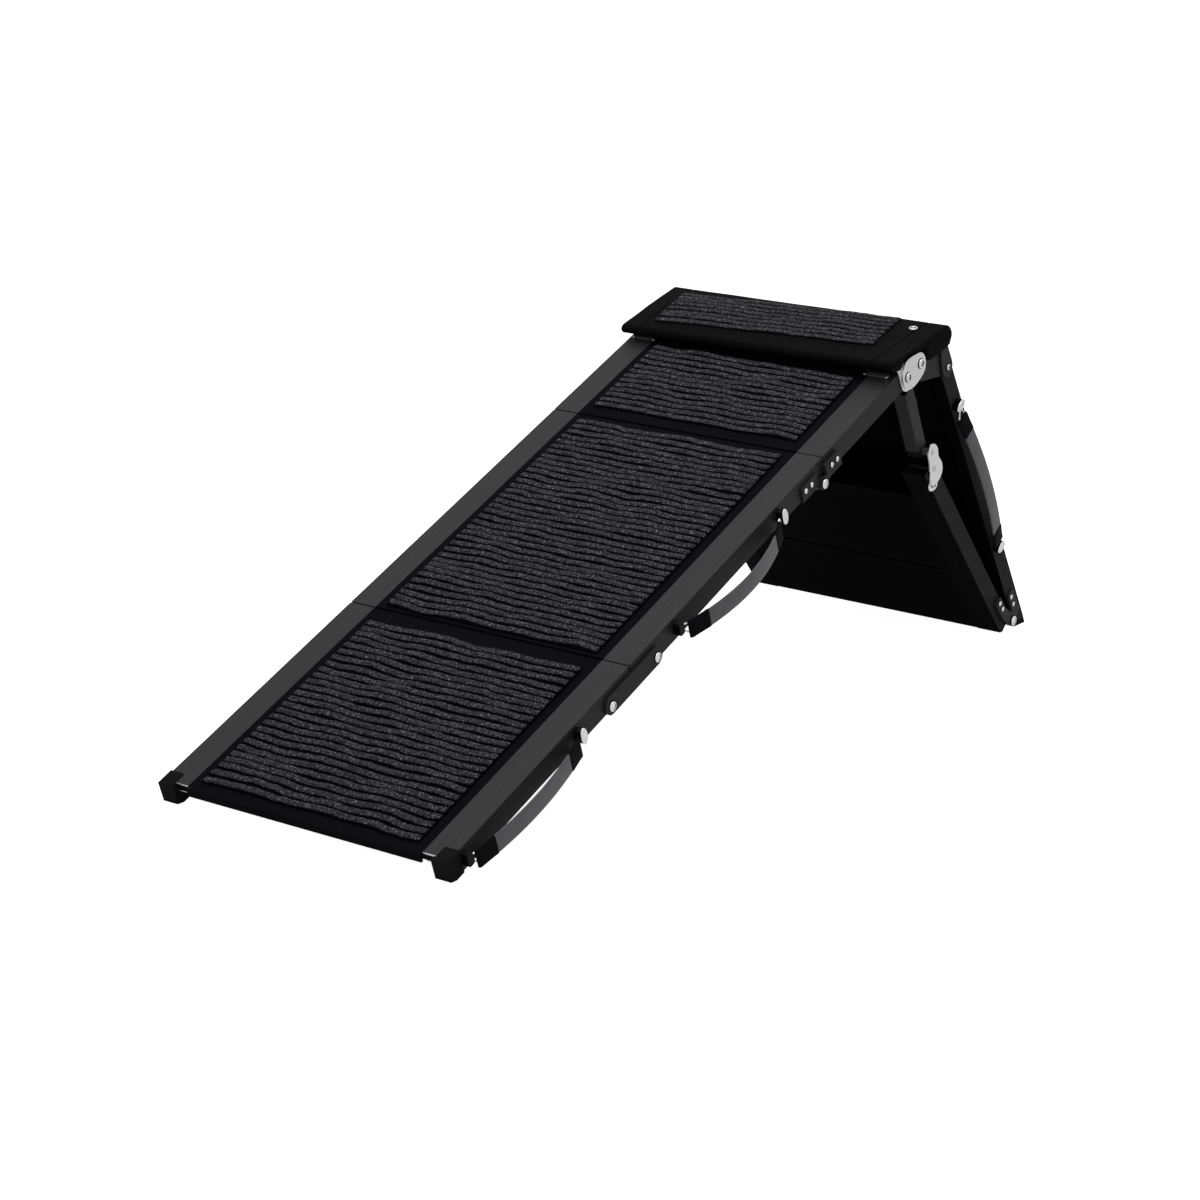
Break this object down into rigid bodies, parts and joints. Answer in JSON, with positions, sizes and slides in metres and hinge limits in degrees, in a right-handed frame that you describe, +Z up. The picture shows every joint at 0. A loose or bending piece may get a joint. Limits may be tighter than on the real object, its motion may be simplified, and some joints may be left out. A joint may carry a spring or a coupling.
{
  "type": "folding dog ramp",
  "caption": "Folding A-frame dog ramp with a carpeted jointed deck, a padded peak platform and a braced, carpeted rear leg with strap handles.",
  "frame": {"origin": "on the ground, at the middle of the overall length and of the overall width, handles included", "axes": "+X runs up the deck from its foot to the rear leg, +Y is the left side seen from the foot, +Z is up"},
  "size_m": [1.507, 0.4736, 0.5082],
  "materials": {
    "anodised_black": "brushed, black anodised",
    "black_steel": "black powder coat",
    "bright_steel": "bright plated",
    "black_plastic": "matt moulded",
    "black_panel": "smooth black sheet",
    "mat_border": "smooth matt mat",
    "carpet": "ribbed pile carpet",
    "black_fabric": "woven cover over foam",
    "grey_webbing": "stiff woven webbing"
  },
  "bodies": {
    "middle_deck": {"middle_rail_right": "anodised_black", "middle_rail_left": "anodised_black", "middle_deck_board": "black_panel", "middle_mat_border": "mat_border", "middle_carpet": "carpet", "middle_hinge_leaf_right": "black_steel", "middle_hinge_leaf_left": "black_steel"},
    "fold_links": {"fold_link_right": "black_steel", "fold_link_left": "black_steel"},
    "lower_deck": {"lower_rail_right": "anodised_black", "lower_rail_left": "anodised_black", "lower_deck_board": "black_panel", "lower_mat_border": "mat_border", "lower_carpet": "carpet", "foot_cap_right": "black_plastic", "foot_cap_left": "black_plastic"},
    "upper_deck": {"upper_rail_right": "anodised_black", "upper_rail_left": "anodised_black", "upper_deck_board": "black_panel", "upper_mat_border": "mat_border", "upper_carpet": "carpet", "upper_hinge_leaf_right": "black_steel", "upper_hinge_leaf_left": "black_steel", "deck_hinge_pin_right": "bright_steel", "deck_hinge_pin_left": "bright_steel", "upper_brace_tab_right": "black_steel", "upper_brace_tab_left": "black_steel", "peak_lip_pad": "black_fabric"},
    "peak_links": {"peak_hinge_plate_right": "bright_steel", "peak_hinge_plate_left": "bright_steel"},
    "platform": {"platform_bar_right": "anodised_black", "platform_bar_left": "anodised_black", "platform_pad": "black_fabric", "platform_carpet": "carpet"},
    "rear_leg": {"rear_rail_right": "anodised_black", "rear_rail_left": "anodised_black", "rear_leg_board": "black_panel", "rear_mat_border": "mat_border", "rear_carpet": "carpet", "rear_foot_right": "black_plastic", "rear_foot_left": "black_plastic", "leg_foot_leaf_right": "black_steel", "leg_foot_leaf_left": "black_steel"},
    "lower_brace": {"brace_rail_right": "anodised_black", "brace_rail_left": "anodised_black", "brace_panel": "black_panel", "brace_foot_cap_right": "black_plastic", "brace_foot_cap_left": "black_plastic", "brace_foot_leaf_right": "black_steel", "brace_foot_leaf_left": "black_steel"},
    "levers": {"brace_lever_right": "bright_steel", "brace_lever_left": "bright_steel"},
    "upper_brace": {"upper_brace_rail_right": "anodised_black", "upper_brace_rail_left": "anodised_black", "upper_brace_panel": "black_panel", "upper_brace_cap_right": "black_plastic", "upper_brace_cap_left": "black_plastic"},
    "lower_strap": {"lower_handle": "grey_webbing"},
    "middle_strap": {"middle_handle": "grey_webbing"},
    "rear_strap": {"rear_handle": "grey_webbing"}
  },
  "joints": [
    {"name": "fold_link_swing", "type": "hinge", "parent": "middle_deck", "child": "fold_links", "pos_m": [-0.32716, 0.01225, 0.17821], "axis": [0, -1, 0], "range_deg": [0, 90]},
    {"name": "lower_deck_fold", "type": "hinge", "parent": "fold_links", "child": "lower_deck", "pos_m": [-0.42492, 0.01225, 0.13725], "axis": [0, -1, 0], "range_deg": [0, 90]},
    {"name": "deck_fold", "type": "hinge", "parent": "middle_deck", "child": "upper_deck", "pos_m": [0.06647, 0.01225, 0.33335], "axis": [0, 1, 0], "range_deg": [0, 100]},
    {"name": "peak_front", "type": "hinge", "parent": "upper_deck", "child": "peak_links", "pos_m": [0.28656, 0.01225, 0.44724], "axis": [0, -1, 0], "range_deg": [0, 11.35]},
    {"name": "peak_rear", "type": "hinge", "parent": "peak_links", "child": "platform", "pos_m": [0.32161, 0.01225, 0.46192], "axis": [0, -1, 0], "range_deg": [0, 11.35]},
    {"name": "rear_leg_swing", "type": "hinge", "parent": "platform", "child": "rear_leg", "pos_m": [0.41202, 0.01225, 0.44447], "axis": [0, -1, 0], "range_deg": [0, 54]},
    {"name": "lower_brace_swing", "type": "hinge", "parent": "rear_leg", "child": "lower_brace", "pos_m": [0.69442, 0.01225, 0.01527], "axis": [0, -1, 0], "range_deg": [-7, 40]},
    {"name": "lever_turn", "type": "hinge", "parent": "lower_brace", "child": "levers", "pos_m": [0.38647, 0.01225, 0.30036], "axis": [0, -1, 0], "range_deg": [-60, 60]},
    {"name": "upper_brace_swing", "type": "hinge", "parent": "upper_deck", "child": "upper_brace", "pos_m": [0.31792, 0.01225, 0.42477], "axis": [0, 1, 0], "range_deg": [0, 95]},
    {"name": "lower_handle_swing", "type": "hinge", "parent": "lower_deck", "child": "lower_strap", "pos_m": [-0.7182, -0.20875, 0.02415], "axis": [-0.9223, 0, -0.3864], "range_deg": [0, 80]},
    {"name": "middle_handle_swing", "type": "hinge", "parent": "middle_deck", "child": "middle_strap", "pos_m": [-0.28267, -0.20875, 0.2066], "axis": [-0.9223, 0, -0.3864], "range_deg": [0, 80]},
    {"name": "rear_handle_swing", "type": "hinge", "parent": "rear_leg", "child": "rear_strap", "pos_m": [0.44912, -0.20875, 0.3849], "axis": [-0.5878, 0, 0.809], "range_deg": [0, 45]}
  ],
  "couplings": [
    {"joint": "lower_deck_fold", "follows": "fold_link_swing", "ratio": 1},
    {"joint": "peak_rear", "follows": "peak_front", "ratio": 1}
  ]
}
